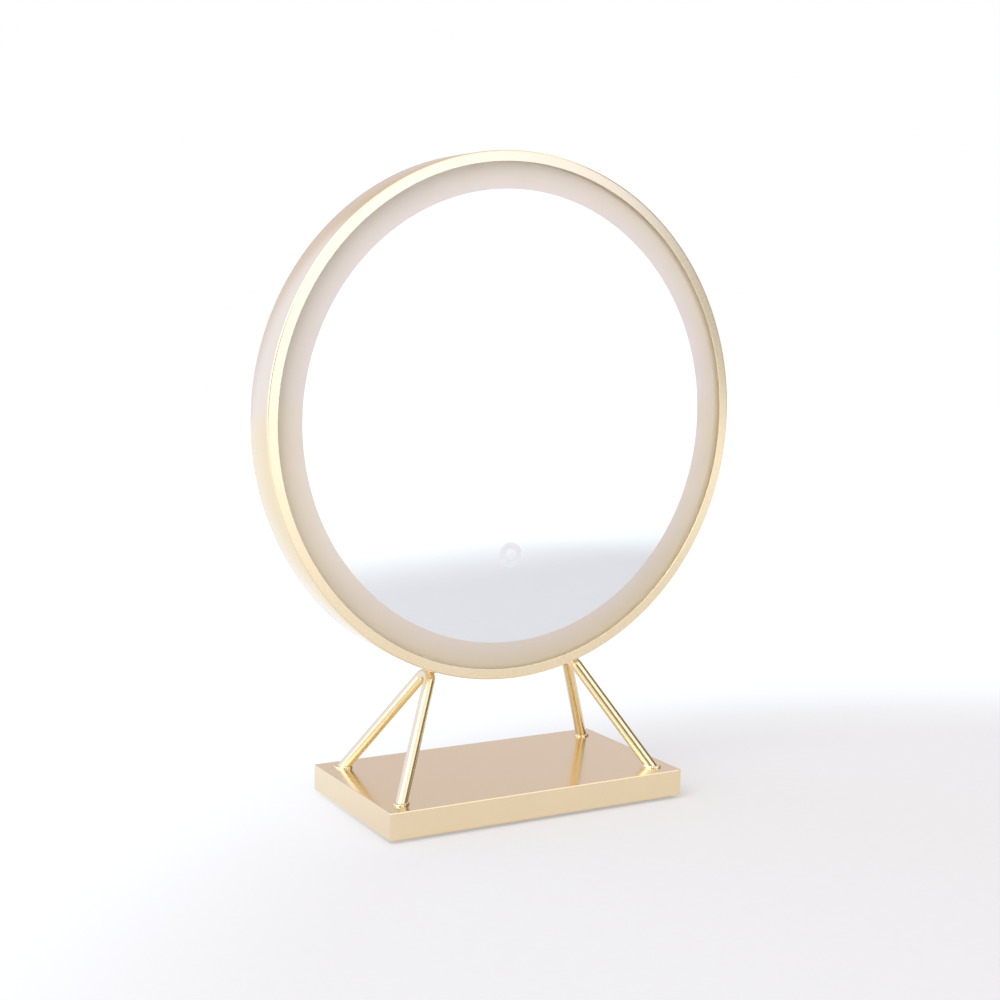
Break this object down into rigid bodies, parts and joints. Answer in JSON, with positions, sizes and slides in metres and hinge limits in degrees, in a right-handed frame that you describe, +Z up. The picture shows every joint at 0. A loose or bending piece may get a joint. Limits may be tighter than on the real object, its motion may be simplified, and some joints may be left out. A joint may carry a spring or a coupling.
{
  "type": "lighted vanity mirror",
  "caption": "Round lighted table mirror in a gold steel drum frame, on four rod legs welded to a weighted box base, with a touch key on the glass and a low-voltage inlet behind.",
  "frame": {"origin": "on the table, under the centre of the base and of the head", "axes": "+Z up, +X to the right of someone facing the mirror's rear, -Y out of the mirror's face"},
  "size_m": [0.4, 0.138, 0.4975],
  "materials": {
    "gold_paint": "champagne gold metallic paint, satin",
    "rim_gold_paint": "champagne gold metallic paint, satin, brighter on the rim",
    "rod_gold": "gold metallic coating, semi-gloss",
    "gold_screw": "gold-passivated steel screw",
    "clear_glass": "clear float glass, 4 mm",
    "silvering": "silvered back of the glass",
    "opal_diffuser": "opal acrylic behind an etched band, unlit",
    "white_plastic": "white moulded ABS",
    "black_plastic": "black moulded plastic",
    "black_foam": "black adhesive foam",
    "strip_film": "white flexible circuit film",
    "led_phosphor": "yellow phosphor light chips, unlit",
    "green_board": "green circuit board",
    "white_board": "white circuit board",
    "black_lead": "black sheathed lead",
    "white_lead": "white sheathed lead",
    "red_lead": "red sheathed lead",
    "zinc_steel": "zinc-plated steel",
    "nickel_contact": "nickel-plated contact",
    "bare_steel": "rough mild steel slab",
    "black_paint": "black powder-coated steel",
    "black_rubber": "black rubber"
  },
  "bodies": {
    "root": {"frame_drum": "gold_paint", "front_rim": "rim_gold_paint", "mirror_glass": "clear_glass", "silver_coating": "silvering", "light_diffuser": "opal_diffuser", "inner_tray": "white_plastic", "tray_screws": "zinc_steel", "mirror_foam": "black_foam", "led_strip": "strip_film", "led_chips": "led_phosphor", "panel_brackets": "zinc_steel", "back_panel": "gold_paint", "panel_screws": "gold_screw", "driver_case": "white_plastic", "driver_lid": "white_plastic", "driver_board": "green_board", "driver_parts": "black_plastic", "touch_foam": "black_foam", "touch_board": "white_board", "touch_leds": "led_phosphor", "inlet_body": "black_plastic", "inlet_pin": "nickel_contact", "inlet_nut": "zinc_steel", "inlet_terminals": "nickel_contact", "supply_lead": "black_lead", "led_lead": "white_lead", "sensor_lead": "red_lead", "left_front_leg": "rod_gold", "left_rear_leg": "rod_gold", "right_front_leg": "rod_gold", "right_rear_leg": "rod_gold", "head_welds": "rod_gold", "base_welds": "rod_gold", "base_shell": "gold_paint", "counterweight": "bare_steel", "weight_studs": "zinc_steel", "weight_spacers": "zinc_steel", "weight_nuts": "zinc_steel", "bottom_plate": "black_paint", "rubber_feet": "black_rubber", "foot_screws": "zinc_steel"}
  },
  "joints": []
}
